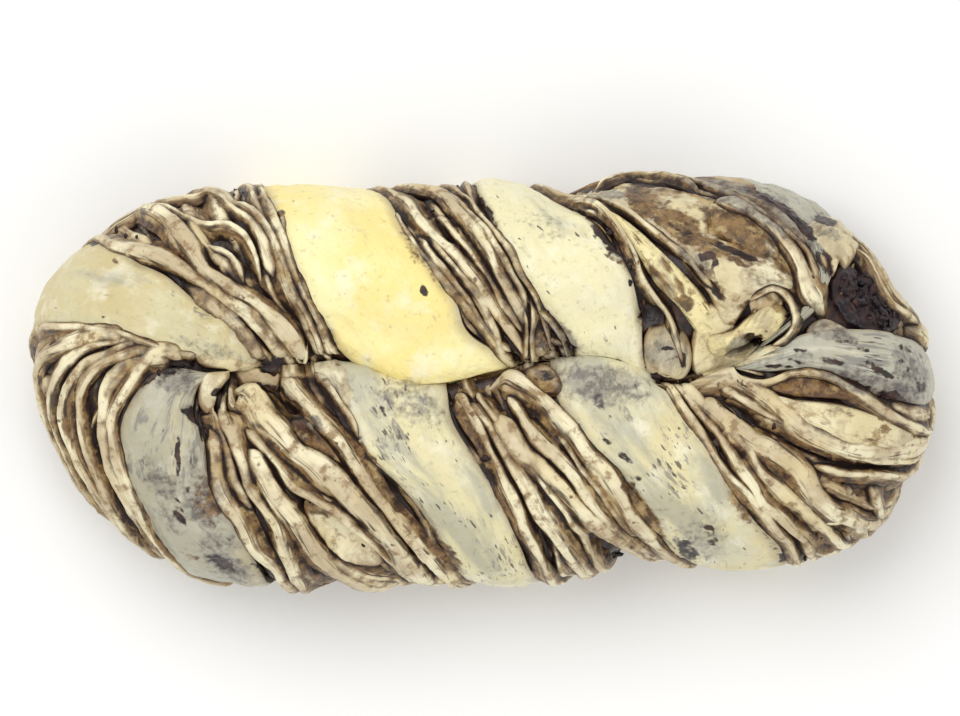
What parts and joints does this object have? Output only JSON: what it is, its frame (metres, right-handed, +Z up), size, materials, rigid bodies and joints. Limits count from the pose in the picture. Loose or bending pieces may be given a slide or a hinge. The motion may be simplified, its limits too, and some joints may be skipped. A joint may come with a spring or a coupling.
{
  "type": "marble bread",
  "caption": "Oval loaf of laminated dough, twisted as one rope and folded into a U, with plain sheets and bundles of thin layers over a flat base.",
  "frame": {"origin": "middle of the flat base on which the loaf rests", "axes": "+X along the loaf from its folded end to its two rope ends, +Y towards the back leg, +Z up"},
  "size_m": [0.1991, 0.0923, 0.0495],
  "materials": {
    "dough": "pale, slightly moist unbrowned dough with dark brown filling between its layers"
  },
  "bodies": {
    "root": {"loaf": "dough"}
  },
  "joints": []
}
